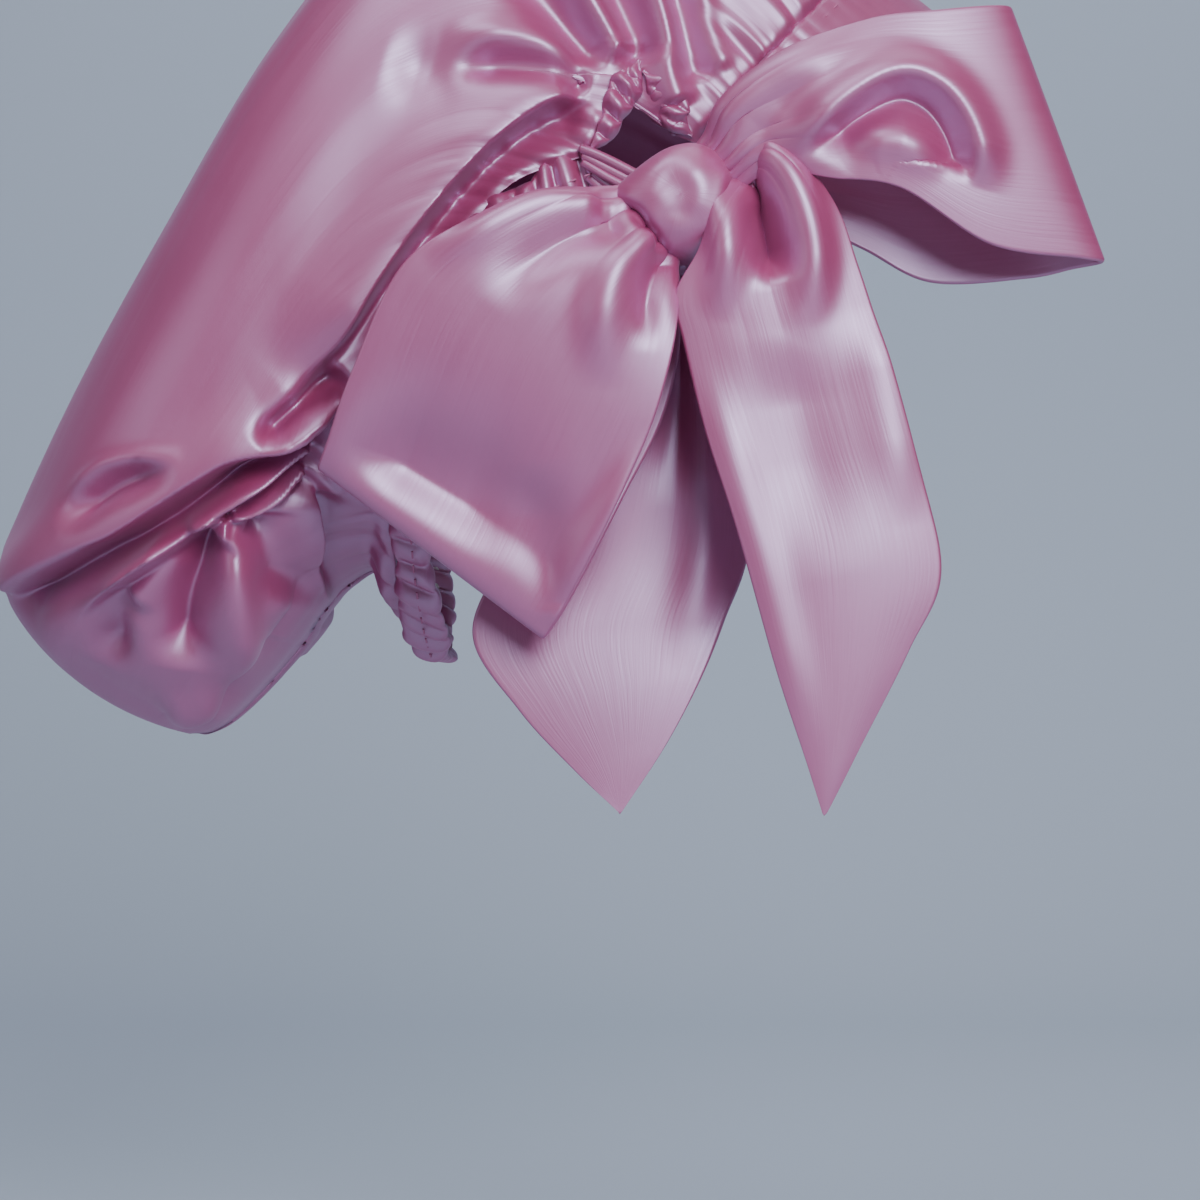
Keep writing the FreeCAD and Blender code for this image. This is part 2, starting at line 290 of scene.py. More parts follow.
def satinMaterial(name, light, deep, roughness, ior, specular, sheen, bump):
    material = bpy.data.materials.new(name)
    material.use_nodes = True
    nodes, links = material.node_tree.nodes, material.node_tree.links
    surface = nodes["Principled BSDF"]
    weave = nodes.new("ShaderNodeGroup")
    weave.node_tree = satinWeave
    weave.inputs["Light"].default_value = (*light, 1)
    weave.inputs["Deep"].default_value = (*deep, 1)
    links.new(weave.outputs["Color"], surface.inputs["Base Color"])
    add = nodes.new("ShaderNodeMath")
    add.inputs[1].default_value = roughness
    links.new(weave.outputs["Roughness"], add.inputs[0])
    links.new(add.outputs[0], surface.inputs["Roughness"])
    bumpNode = nodes.new("ShaderNodeBump")
    bumpNode.inputs["Strength"].default_value = bump
    bumpNode.inputs["Distance"].default_value = 0.0002
    links.new(weave.outputs["Height"], bumpNode.inputs["Height"])
    links.new(bumpNode.outputs[0], surface.inputs["Normal"])
    surface.inputs["IOR"].default_value = ior
    surface.inputs["Specular IOR Level"].default_value = specular
    surface.inputs["Specular Tint"].default_value = (0.80, 0.70, 1.0, 1)
    surface.inputs["Sheen Weight"].default_value = sheen
    surface.inputs["Sheen Roughness"].default_value = 0.35
    surface.inputs["Sheen Tint"].default_value = (0.88, 0.74, 1.0, 1)
    return material


satinLook = {"light": (0.37, 0.034, 0.118), "deep": (0.30, 0.020, 0.082), "roughness": 0.36,
             "ior": 2.3, "specular": 0.85, "sheen": 0.12, "bump": 0.25}
satin = satinMaterial("pink satin", **satinLook)
threadLook = {"light": (0.44, 0.13, 0.24), "deep": (0.36, 0.09, 0.18), "roughness": 0.50,
              "ior": 1.5, "specular": 0.5, "sheen": 0.1, "bump": 0.6}
thread = satinMaterial("sewing thread", **threadLook)
elasticLook = {"light": (0.80, 0.78, 0.76), "deep": (0.62, 0.60, 0.58), "roughness": 0.7,
               "ior": 1.5, "specular": 0.5, "sheen": 0.1, "bump": 0.8}
elastic = satinMaterial("braided elastic", **elasticLook)
print("materials made")


bagShape = {
    # crown x, crown z, nape x, nape z, half width, from the head opening to the pouch's end
    "sections": [
        (66, 108, -66, -104.5, 76), (45, 133, -71, -98, 80), (11, 147, -79, -85, 83),
        (-29, 148, -86, -75, 86), (-73, 129, -95, -80, 88), (-110, 85, -102, -88, 89),
        (-144, 26, -109, -98, 86), (-175, -29, -119, -110, 77), (-196, -68, -131, -122, 62),
        (-203, -84, -141, -129, 44)],
    "power": 2.6,
    "closeFrom": 6.3, "endBulge": 7.0, "endRound": 0.10, "closeFade": 0.5,
    "around": 540, "along": 280, "rowPower": 1.25, "edgeShares": (0.24, 0.20, 0.56),
    "sectionGap": 38, "slitEase": 42, "waveReach": 190,
    "searched": (-0.6, 8.9, 900),  # where bagPlace looks for a point: from, to and steps
    "clothAround": 620, "thickness": 0.9,
    "seamLength": 86.0, "seamBlend": 12, "meetAlong": 14, "meetDown": 26,
    "slitAt": 18, "slitReach": 22, "hemDepth": 3, "hemHold": 0.8, "farShift": (6, 4),
}
# pleats that start at the gathered edge: pitch, lift and reach, and the part of the bag they lie on
bagGathers = [
    {"pitch": 6.0, "lift": 2.6, "reach": (8, 34), "seed": 11, "zone": "band"},
    {"pitch": 16.0, "lift": 3.6, "reach": (30, 60), "seed": 23, "zone": "band"},
    {"pitch": 6.4, "lift": 2.2, "reach": (4, 13), "seed": 37, "zone": "casing"},
    {"pitch": 15.0, "lift": 2.6, "reach": (8, 26), "seed": 41, "zone": "casing"},
    {"pitch": 4.6, "lift": 3.2, "reach": (7, 16), "seed": 53, "zone": "slit"},
    {"pitch": 23.0, "lift": 4.2, "reach": (50, 130), "seed": 83, "zone": "bandAway"},
    {"pitch": 37.0, "lift": 3.6, "reach": (60, 150), "seed": 91, "zone": "casingAway"},
]
# slow waves over the whole bag: lift, size, how far it leans round and down, where it starts
bagWaves = [
    {"lift": 3.0, "size": 48, "round": 1.0, "down": 0.35, "seed": 97, "from": 60, "zone": "away"},
    {"lift": 1.6, "size": 60, "round": 1.0, "down": 0.0, "seed": 5, "from": 80, "zone": "upper"},
    {"lift": 0.8, "size": 40, "round": 0.6, "down": 0.5, "seed": 9, "from": 40, "zone": "all"},
]
openingEdge = {
    "seam": [(66, 108), (10.5, 43)],
    "slitClosed": [(10.5, 43), (-4, 44.5), (-18.5, 40)],
    "slitOpen": [(10.5, 43), (3.5, 46), (-1.5, 52), (-6.5, 60), (-11, 55), (-15, 47), (-18.5, 40)],
    "ear": [(-18.5, 40), (-43, 30), (-61, 6), (-72, -27), (-77, -56), (-77, -76), (-75.3, -88),
            (-72.5, -97)],
}


def bagRows(t):
    table = np.array(bagShape["sections"], float)
    last = len(table) - 1
    ends = np.vstack([2 * table[0] - table[1], table, 2 * table[-1] - table[-2]])
    i = np.clip(np.floor(t).astype(int), 0, last - 1)
    f = (np.clip(t, -1, last) - i)[..., None]
    return blendRows(ends[i], ends[i + 1], ends[i + 2], ends[i + 3], f)


def bagAt(t, turn):
    # point on the bag: t counts sections from the opening, turn goes round from the crown
    rows = bagRows(t)
    last = len(bagShape["sections"]) - 1
    closing = np.clip((t - bagShape["closeFrom"]) / (last - bagShape["closeFrom"]), 0, 1)
    crown, nape = rows[..., 0:2], rows[..., 2:4]
    half = 0.5 * (crown - nape)
    length = np.linalg.norm(half, axis=-1)
    along = half / length[..., None]
    power = bagShape["power"]
    c, s = np.cos(turn), np.sin(turn)
    radius = (np.abs(c) ** power + np.abs(s) ** power) ** (-1 / power)
    narrow = np.sqrt(np.maximum(1 - closing ** 2.3, 0))
    length = length * (1 - bagShape["endRound"] * closing ** 5)
    behind = np.stack([-along[..., 1], along[..., 0]], -1)
    bulge = bagShape["endBulge"] * closing ** 2 * (1 - (c * radius) ** 2)
    flat = 0.5 * (crown + nape) + along * (c * radius * length)[..., None] + behind * bulge[..., None]
    y = -s * radius * narrow * rows[..., 4]
    return np.stack([flat[..., 0], y, flat[..., 1]], -1)


def bagPlace(side):
    # (t, turn) on the near side of the bag for points given in side view
    ts = np.linspace(*bagShape["searched"])
    rows = bagRows(ts)
    crown, nape = rows[:, 0:2], rows[:, 2:4]
    across = crown - nape
    q = np.atleast_2d(side)[:, None] - nape[None]
    turnSign = across[None, :, 0] * q[..., 1] - across[None, :, 1] * q[..., 0]
    at = np.abs(turnSign / np.linalg.norm(across, axis=1)[None]).argmin(1)
    half = 0.5 * np.linalg.norm(across[at], axis=1)
    share = ((q[np.arange(len(at)), at] * across[at]).sum(1) / (2 * half) - half) / half
    share = np.clip(share, -1, 1)
    power = bagShape["power"]
    return ts[at], np.arctan2((1 - np.abs(share) ** power) ** (1 / power), share)


# folds in side view: those of the slit are on the near side only, those of the pouch on both sides
slitFolds = [
    # trough and tubular ridges that run down from the crown into the slit
    {"path": [(-44, 118), (-30, 97), (-21, 82), (-10, 66)], "width": 6, "lift": 7, "drop": 3, "low": 9,
     "edge": 4, "fade": (0.5, 0.08)},
    {"path": [(-58, 112), (-42, 94), (-28, 80), (-15, 64)], "width": 7, "lift": -6.5, "fade": (0.5, 0.12)},
    {"path": [(-12, 118), (-5, 92), (0, 76), (1.5, 62), (4.5, 52)], "width": 4.5, "lift": 6.5,
     "fade": (0.5, 0.05)},
    {"path": [(-26, 114), (-14, 92), (-8, 78), (-4, 64)], "width": 6, "lift": -7.5, "fade": (0.45, 0.1)},
    {"path": [(14, 108), (10, 92), (12, 76), (17, 62)], "width": 4, "lift": 3.5, "fade": (0.5, 0.1)},
    {"path": [(5, 104), (5, 88), (8, 74), (12, 60)], "width": 4.5, "lift": -4, "fade": (0.5, 0.1)},
    # big bulge that sweeps down behind the bow, with the cloth tucked under it
    {"path": [(-104, -26), (-90, -12), (-78, 6), (-62, 27), (-47, 43), (-33, 53), (-20, 57)], "width": 13,
     "lift": 8, "drop": 9, "low": 9, "edge": 2.5, "fade": (0.25, 0.08)},
    {"path": [(-60, 62), (-45, 64), (-30, 62), (-20, 57)], "width": 4.5, "lift": -5.5, "fade": (0.35, 0.1)},
    {"path": [(-62, 69), (-46, 72), (-30, 68), (-18, 60)], "width": 5, "lift": 3.5, "fade": (0.35, 0.1)},
]
pouchFolds = [
    {"path": [(-78, 66), (-66, 63), (-54, 60)], "width": 9, "lift": -3, "fade": (0.45, 0.45)},
    # almond-shaped dent above the overhang
    {"path": [(-170, -64), (-159, -56), (-148, -51), (-133, -48)], "width": 4.5, "lift": -6.5,
     "fade": (0.3, 0.4)},
    {"path": [(-171, -60), (-160, -50), (-151, -46.5), (-130, -45)], "width": 3, "lift": 3,
     "fade": (0.3, 0.3)},
    # main overhang of the pouch
    {"path": [(-198, -84), (-178, -76), (-162, -69.5), (-150, -64.5), (-130, -52.5), (-120, -46.7),
              (-107, -43), (-98.8, -37.5), (-89, -29)],
     "width": 12, "lift": 6, "drop": 13, "low": 9, "edge": 1.6, "fade": (0.08, 0.1)},
    # bright ridge under it, and the small third one
    {"path": [(-171, -92), (-161.5, -84.4), (-145.5, -74.9), (-134, -68.2), (-121, -59.3),
              (-109.5, -52), (-95, -41.5)],
     "width": 4, "lift": 8, "drop": 6, "low": 9, "edge": 1.5, "fade": (0.3, 0.05)},
    {"path": [(-122, -62), (-116.5, -62.6), (-111, -60.2), (-105.3, -56), (-97, -49)], "width": 2.4,
     "lift": 5, "drop": 5, "low": 7, "edge": 1.2, "fade": (0.1, 0.1)},
    # slit-like dents beside the bow's corner
    {"path": [(-113, -42.5), (-105, -35.5), (-97, -29), (-87, -22)], "width": 3.4, "lift": -9,
     "fade": (0.25, 0.15)},
    {"path": [(-112, -45), (-105, -40), (-97, -33.5), (-87, -26.5)], "width": 2.0, "lift": 5,
     "fade": (0.25, 0.15)},
    # the lobe below fans out from one point
    {"path": [(-121, -62), (-121.5, -72), (-121.5, -84), (-122, -98), (-126, -114)], "width": 5.5,
     "lift": 7, "fade": (0.04, 0.4)},
    {"path": [(-125.5, -66), (-131, -78), (-136, -90), (-138, -106)], "width": 6.5, "lift": -11,
     "fade": (0.1, 0.2)},
    {"path": [(-104, -100), (-100.5, -86), (-98.5, -70), (-97, -54)], "width": 9, "lift": 2.5, "drop": 7,
     "low": 9, "edge": 1.5, "fade": (0.05, 0.1)},
    {"path": [(-134, -69.5), (-144, -78), (-152, -87), (-157, -99)], "width": 6, "lift": 6,
     "fade": (0.2, 0.3)},
    {"path": [(-148, -83), (-158, -94), (-163, -106)], "width": 6, "lift": -7, "fade": (0.25, 0.3)},
    {"path": [(-111, -63), (-107, -75), (-106, -88)], "width": 7, "lift": -7, "fade": (0.12, 0.4)},
    {"path": [(-152, -116), (-138, -119), (-124, -112)], "width": 5, "lift": 4, "fade": (0.4, 0.4)},
]


bandShape = {
    # the seam's two ends in side view, its rounded length there, and the half sizes of its arch
    "top": (66, 108), "low": (10, 42), "seamRun": 86.6, "half": (90.0, 81.0),
    "width": 27.6, "thickness": 3.0, "gap": -2.0, "inside": 1.3, "end": 80.0,
    "around": 260, "across": 26, "rim": 0.14,
    "puckerPitch": 6.2, "pucker": 0.9, "puckerReach": (9, 30), "puckerStart": 400.0, "seed": 11,
    "creases": [(0.5, 17.0, 0), (0.35, 7.3, 1)], "creaseShare": 0.6, "insideShare": 0.6,
    "meetEnd": 88.0, "meetOut": 1.0,
}


def bandHalfWidth(downSeam):
    # half the band's width at a place down the seam, where the bag's edge meets it
    out = bandShape["meetOut"]
    high, wide = bandShape["half"]
    share = (high - min(downSeam, bandShape["meetEnd"])) / (high + out)
    return (wide + out) * np.sqrt(np.clip(1 - share ** 2, 0, 1))


def nearEdge(slit):
    # the near half of the bag's edge in side view: band seam, slit, and behind the ear to the nape
    pieces = []
    for run, share in zip((openingEdge["seam"], slit, openingEdge["ear"]), bagShape["edgeShares"]):
        count = int(bagShape["around"] // 2 * share)
        if len(run) > 2:
            line = smoothRows(run, count + 1)
        else:
            line = np.linspace(*np.array(run, float), count + 1)
        pieces.append(line[:-1])
    return np.vstack(pieces + [line[-1:]])


def bagBase():
    # the bag's smooth surface before its folds, and how many sections each point lies from the opening
    tClosed, turnClosed = bagPlace(nearEdge(openingEdge["slitClosed"]))
    tOpen, turnOpen = bagPlace(nearEdge(openingEdge["slitOpen"]))
    for turns in (turnClosed, turnOpen):
        turns[0], turns[-1] = 0.0, np.pi
    near = len(tClosed)
    t0 = np.concatenate([tClosed, tClosed[-2:0:-1]])
    turn0 = np.concatenate([turnClosed, 2 * np.pi - turnClosed[-2:0:-1]])
    dt, dturn = np.zeros(len(t0)), np.zeros(len(t0))
    dt[:near], dturn[:near] = tOpen - tClosed, turnOpen - turnClosed
    last = len(bagShape["sections"]) - 1
    v = np.linspace(0, 1, bagShape["along"]) ** bagShape["rowPower"]
    t = t0[None] + (last - t0)[None] * v[:, None]
    fromEdge = (t - t0[None]) * bagShape["sectionGap"]
    ease = np.exp(-(fromEdge / bagShape["slitEase"]) ** 1.4)
    t = t + dt[None] * ease
    turn = np.broadcast_to(turn0[None], t.shape) + dturn[None] * ease
    return bagAt(t, turn), t


def bagZones(fromSeam, at, away):
    # how strongly each part of the bag takes its own gathers
    byBand = 1 - smoothStep((fromSeam - bagShape["seamLength"]) / bagShape["seamBlend"])
    fromSlit = (at - bagShape["seamLength"] - bagShape["slitAt"]) / bagShape["slitReach"]
    byCasing = 1 - byBand
    return {"band": byBand, "casing": byCasing, "slit": byCasing * np.exp(-fromSlit ** 2),
            "bandAway": byBand * away, "casingAway": byCasing * away}


def bagShift(base, normals, at, down):
    # how far each point of the bag moves out: gathers, slow waves, and the folds of both sides
    away = smoothStep((normals[..., 1] + 0.75) / 0.6)
    zones = bagZones(np.minimum(at, at[0, -1] - at), at, away)
    shift = np.zeros(down.shape)
    for g in bagGathers:
        shift += gathers(at, down, g["pitch"], g["lift"], g["reach"], g["seed"]) * zones[g["zone"]]
    waveZones = {"away": away, "upper": np.exp(-(down / bagShape["waveReach"]) ** 2), "all": 1.0}
    for w in bagWaves:
        wave = lineNoise(at * w["round"] + down * w["down"], w["size"], w["seed"])
        shift += w["lift"] * wave * smoothStep(down / w["from"]) * waveZones[w["zone"]]
    for sign, folds, offset in ((-1, slitFolds + pouchFolds, (0, 0)), (1, pouchFolds, bagShape["farShift"])):
        facing = smoothStep((sign * normals[..., 1] + 0.05) / 0.4)
        pick = facing > 0.001
        side = base[pick][:, [0, 2]] + np.array(offset)
        shift[pick] += foldShift(side, folds) * facing[pick]
    return shift


def makeBag():
    base, t = bagBase()
    around = base.shape[1]
    normals = -gridNormals(base, True)
    outward = np.sign((normals * (base - base.mean((0, 1)))).sum(2).mean())
    normals = normals * outward
    edge = base[0]
    at = runAlong(np.vstack([edge, edge[:1]]))[:-1]
    rowSteps = np.linalg.norm(np.diff(base, axis=0), axis=2)
    down = np.concatenate([np.zeros((1, around)), np.cumsum(rowSteps, axis=0)])
    at = np.broadcast_to(at[None], down.shape)
    # draw the edge sideways until it meets the band
    top, low = np.array(bandShape["top"]), np.array(bandShape["low"], float)
    downSeam = (edge[:, [0, 2]] - top) @ ((low - top) / bandShape["seamRun"])
    bandY = np.array([bandHalfWidth(d) for d in downSeam])
    fromSeam = np.minimum(at[0], at[0, -1] - at[0])
    meet = np.sign(edge[:, 1]) * bandY - edge[:, 1]
    pastSeam = np.maximum(fromSeam - bagShape["seamLength"], 0)
    meet = meet * np.exp(-(pastSeam / bagShape["meetAlong"]) ** 2)
    base[..., 1] += meet[None] * np.exp(-(down / bagShape["meetDown"]) ** 2)
    shift = bagShift(base, normals, at, down)
    last = len(bagShape["sections"]) - 1
    hem = 1 - bagShape["hemHold"] * np.exp(-(down / bagShape["hemDepth"]) ** 2)
    hem = hem * smoothStep((last - t) / bagShape["closeFade"])
    points = base + normals * (shift * hem)[..., None]
    measure = np.linspace(0, bagShape["clothAround"], around + 1)
    bag = gridMesh("satinBag", points[::-1], measure, down.mean(1)[::-1], ring=True)
    tidyMesh(bag)
    thicken(bag, bagShape["thickness"])
    finish(bag, satin, "bonnet", ["bag"])
    return bag


bag = makeBag()
print("bag made:", len(bag.data.vertices), "points")


def makeBand():
    top, low = np.array(bandShape["top"], float), np.array(bandShape["low"], float)
    down = (low - top) / np.linalg.norm(low - top)
    ahead = np.array([-down[1], down[0]])
    high, wide = bandShape["half"]
    inside, gap = bandShape["inside"], bandShape["gap"]
    stop = math.acos((high - bandShape["end"]) / (high + inside))
    turn = np.linspace(-stop, stop, bandShape["around"])
    share = np.linspace(0, 1, bandShape["across"])
    thick, width = bandShape["thickness"], bandShape["width"]
    rim = np.clip((np.abs(2 * share - 1) - (1 - bandShape["rim"])) / bandShape["rim"], 0, 1)
    half = 0.5 * thick * np.sqrt(np.maximum(1 - rim ** 2, 0))
    back = np.stack([share[-2:0:-1], -half[-2:0:-1]], 1)
    loop = np.concatenate([np.stack([share, half], 1), back])
    length = turn * (high + wide) / 2
    puckers = gathers(length + bandShape["puckerStart"], np.zeros(len(length)), bandShape["puckerPitch"],
                      bandShape["pucker"], bandShape["puckerReach"], bandShape["seed"])
    rows = []
    for a, run, pucker in zip(turn, length, puckers):
        crease = sum(lift * math.sin(run / size + start) for lift, size, start in bandShape["creases"])
        ring = []
        for forward, out in loop:
            swell = pucker * (1 - forward) ** 2
            swell += crease * math.sin(math.pi * forward) * bandShape["creaseShare"]
            r = inside + out + (swell if out >= 0 else swell * bandShape["insideShare"])
            flat = top + down * (high - (high + r) * math.cos(a)) + ahead * (gap + forward * width)
            ring.append((flat[0], (wide + r) * math.sin(a), flat[1]))
        rows.append(ring)
    points = np.array(rows)
    around = np.concatenate([loop[:, 0] * width, [2 * width]])
    band = gridMesh("foreheadBand", points, around, length - length[0], ring=True, capped=True)
    tidyMesh(band)
    finish(band, satin, "bonnet", ["front_band"])
    return band


band = makeBand()
print("band made")


casingShape = {
    "line": [(-15, 36.5), (-39.6, 25.7), (-56.1, 3.5), (-66.7, -28.4), (-71.5, -56.6), (-71.3, -76),
             (-70, -90), (-68.5, -100.4)],
    "steps": 820, "farEnd": (20, 1, 2), "middle": (-20.0, 0, 10.0), "seed": 31,
    "reach": 6.2, "fat": 2.6, "pitch": 7.2, "crumple": 1.5, "templeLength": 46, "taper": 0.0,
}
frillShape = {
    "left": [(-6, 66), (-9, 60), (-12.5, 53), (-15, 46), (-20, 40)],
    "right": [(-5, 63), (-1, 59), (3, 54), (4.5, 49), (9, 45)],
    "steps": 150, "leftSeed": 61, "rightSeed": 71,
    "reach": 4.4, "fat": 2.7, "pitch": 6.2, "crumple": 0.8, "templeLength": 24, "taper": 9.0,
}
bunchedSides = 36


def bunched(name, route, out, look, seed):
    # cloth drawn up on a thread or elastic: a soft tube whose pleats stand across the route
    heading = np.gradient(route, axis=0)
    heading /= np.linalg.norm(heading, axis=1)[:, None]
    out = out - heading * (out * heading).sum(1)[:, None]
    out /= np.linalg.norm(out, axis=1)[:, None]
    edge = np.cross(heading, out)
    run = runAlong(route)
    temple = np.exp(-(run / look["templeLength"]) ** 2)
    pleat = gathers(run, np.zeros(len(run)), look["pitch"], 1.0, (20, 30), seed)
    turn = np.linspace(0, 2 * np.pi, bunchedSides, endpoint=False)
    c, s = np.cos(turn), np.sin(turn)
    sway = 2.6 * lineNoise(run, 13.0, seed + 5)
    swell = np.array([gathers(run + 1.2 * math.sin(2 * a) + sway * math.cos(a), np.zeros(len(run)),
                              look["pitch"], 1.0, (20, 30), seed) for a in turn]).T
    reach = look["reach"] * (0.9 + 0.25 * lineNoise(run, 11.0, seed + 3) * (1 + temple) + 0.15 * pleat)
    fat = look["fat"] * (0.35 + 1.15 * swell + 0.7 * (temple * pleat)[:, None])
    if look["taper"]:
        inFrom, outTo = run / look["taper"], (run[-1] - run) / look["taper"]
        ends = 0.12 + 0.88 * smoothStep(inFrom) * smoothStep(outTo)
        reach = reach * ends
        fat = fat * ends[:, None]
    ragged = look["crumple"] * lineNoise(run, 8.0, seed + 9) * (1 + temple)
    tilt = ragged[:, None] * (np.abs(c) ** 1.5 * np.sign(c))
    sideways = edge[:, None] * (reach[:, None] * np.sign(c) * np.abs(c) ** 0.8)[..., None]
    points = route[:, None] + sideways + out[:, None] * (fat * s + tilt)[..., None]
    piece = gridMesh(name, points, np.linspace(0, 30, len(turn) + 1), run, ring=True, capped=True)
    tidyMesh(piece)
    return piece


def casingRoute():
    side = np.array(casingShape["line"], float)
    t, turn = bagPlace(side)
    near = bagAt(t, turn)
    near[:, 1] += 1.0
    far = near[::-1] * np.array([1, -1, 1])
    end = far[-1] + np.array(casingShape["farEnd"])
    return smoothRows(np.vstack([near, far, [end]]), casingShape["steps"])


def makeCasing():
    route = casingRoute()
    out = (route - np.array(casingShape["middle"])) * np.array([0.55, 1, 1])
    casing = bunched("ruffledCasing", route, out, casingShape, casingShape["seed"])
    finish(casing, satin, "bonnet", ["nape_casing"])
    return casing


def makeFrill(name, side, seed):
    t, turn = bagPlace(np.array(side, float))
    route = smoothRows(bagAt(t, turn) - np.array([0, 2.0, 0]), frillShape["steps"])
    out = np.broadcast_to(np.array([0, -1.0, 0.25]), route.shape)
    frill = bunched(name, route, out, frillShape, seed)
    finish(frill, satin, "bonnet", ["bag"])
    return frill


casing = makeCasing()
frills = [makeFrill("slitFrillLeft", frillShape["left"], frillShape["leftSeed"]),
          makeFrill("slitFrillRight", frillShape["right"], frillShape["rightSeed"])]
print("casing and frills made")


loopFrontShape = {
    "rows": [
        (5, -101, 32, 7, -101, 17, 2), (12, -108, 41, 20, -109, 25, 3), (19, -113, 51, 30, -115, 30, 4),
        (34, -116, 62, 45, -120, 27, 4), (55, -117, 70, 63, -122, 24, 3), (74, -117, 72.5, 87, -119, 9.5, 3),
        (89, -113, 74.5, 112, -113, 6.5, 2), (93.5, -107, 75, 119, -107, 6, 0),
        (89, -101, 74, 112, -101, 5, -1), (74, -97, 71.5, 100, -96, 3, -2),
        (55, -96, 68.5, 74, -94, 2.2, -2), (35, -96, 60, 55, -94, 11.5, -2),
        (20, -97, 49, 35, -95, 20, -1), (9, -99, 36, 14, -98, 19, 0)],
    "thickness": 1.7, "count": 320, "across": 120, "gatherReach": (10, 30), "gatherLift": 1.7,
    "folds": [
        {"path": [(34, 33), (39, 39), (48, 47), (58, 53), (66, 54), (74, 50), (80, 42), (83.5, 31),
                  (82, 24)],
         "width": 5.5, "lift": 5, "drop": 8, "low": 11, "edge": 2.8, "fade": (0.2, 0.15)},
        {"path": [(12, 38), (20, 48), (34, 57), (56, 65)], "width": 5, "lift": 2.5, "fade": (0.2, 0.5)},
        {"path": [(20, 34), (30, 45), (44, 54)], "width": 6, "lift": -2.5, "fade": (0.3, 0.5)},
        {"path": [(48, 33), (56, 37), (66, 35), (76, 28)], "width": 5, "lift": 3, "fade": (0.35, 0.4)},
    ],
}
loopBackShape = {
    "rows": [
        (-5, -101, 28, 3, -101, 12, 2), (-12, -109, 26, 4, -109, 6, 3), (-28, -116, 24.5, 4, -117, -4, 4),
        (-49, -121, 17, 2.5, -122, -18, 3), (-69.5, -121, 4, -3, -122, -38, 2),
        (-83.5, -116, -24, -12, -118, -58, 2), (-90.5, -110.5, -42, -25, -111, -84, 1),
        (-93.5, -105, -49, -32, -105, -95.5, 0), (-90.5, -102, -43, -25, -102, -85, -1),
        (-83, -98, -25, -10, -98, -56, -2), (-69, -96.5, 2, -0.5, -96.5, -37, -2),
        (-48, -96, 15, 4.5, -96, -19, -2), (-28, -97, 22, 5, -97, -5, -1), (-10, -99, 25, 4, -99, 8, 0)],
    "thickness": 1.7, "count": 320, "across": 120, "gatherReach": (8, 24), "gatherLift": 1.8,
    "folds": [
        {"path": [(-16, 20), (-34, 20), (-52, 11), (-64, 4)], "width": 5, "lift": 3, "drop": 2.5, "low": 8,
         "edge": 4, "fade": (0.1, 0.4)},
        {"path": [(-9, 16), (-24, 12), (-38, 2), (-46, -8)], "width": 6, "lift": -4, "fade": (0.1, 0.5)},
        {"path": [(-4, 12), (-12, 4), (-16, -10), (-16, -30)], "width": 5.5, "lift": 4, "fade": (0.08, 0.5)},
        {"path": [(0, 8), (-4, -4), (-5, -20)], "width": 3.5, "lift": -3, "fade": (0.1, 0.5)},
        {"path": [(-2, -40), (-13, -60), (-23, -76), (-32, -94)], "width": 5, "lift": 3.2, "drop": 0,
         "fade": (0.4, 0.02)},
        {"path": [(-36, -48), (-33, -68), (-31, -90)], "width": 9, "lift": -3.5, "fade": (0.4, 0.1)},
        {"path": [(-90, -44), (-69, -54), (-48, -61), (-24, -64)], "width": 20, "lift": -9,
         "fade": (0.3, 0.45)},
    ],
}
tailFrontShape = {
    "rows": [
        (12, -104, 32, 21, -104, 31, 1), (17, -111, 29.5, 25, -111, 35, 2),
        (15.5, -115, 20, 35.5, -115, 32, 3), (10, -116.5, 9, 46, -116.5, 20, 3),
        (2.8, -117, -4, 52, -117, 4, 3), (5, -117.5, -16, 58, -117.5, -15, 3),
        (11, -118.5, -40, 65.5, -118.5, -42, 3), (19.5, -120, -66.5, 73.8, -120, -76.6, 3),
        (30, -121, -104, 65, -121, -98.7, 2), (38.3, -121, -129.8, 51.8, -121, -124.4, 1),
        (42.4, -121, -142.5, 42.5, -121, -142.5, 0)],
    "thickness": 1.9, "count": 280, "across": 130, "gatherReach": (10, 26), "gatherLift": 1.3,
    "folds": [
        {"path": [(20.5, 33), (24, 24), (27.5, 12), (31.5, -2)], "width": 4.6, "lift": -13,
         "fade": (0.05, 0.3)},
        {"path": [(17, 30), (16.5, 18), (17, 4), (15, -12)], "width": 4.6, "lift": 5, "fade": (0.1, 0.5)},
        {"path": [(23, 36), (33, 27), (38.5, 12), (39, -4), (34, -16)], "width": 5, "lift": 5,
         "fade": (0.1, 0.4)},
        {"path": [(33, -14), (36, -40), (44, -80)], "width": 12, "lift": -3, "fade": (0.3, 0.5)},
        {"path": [(54, -6), (60, -34), (66, -66)], "width": 7, "lift": 2.2, "fade": (0.3, 0.4)},
        {"path": [(10, -20), (19, -50), (30, -90), (40, -130)], "width": 5, "lift": 1.6, "fade": (0.3, 0.3)},
    ],
}
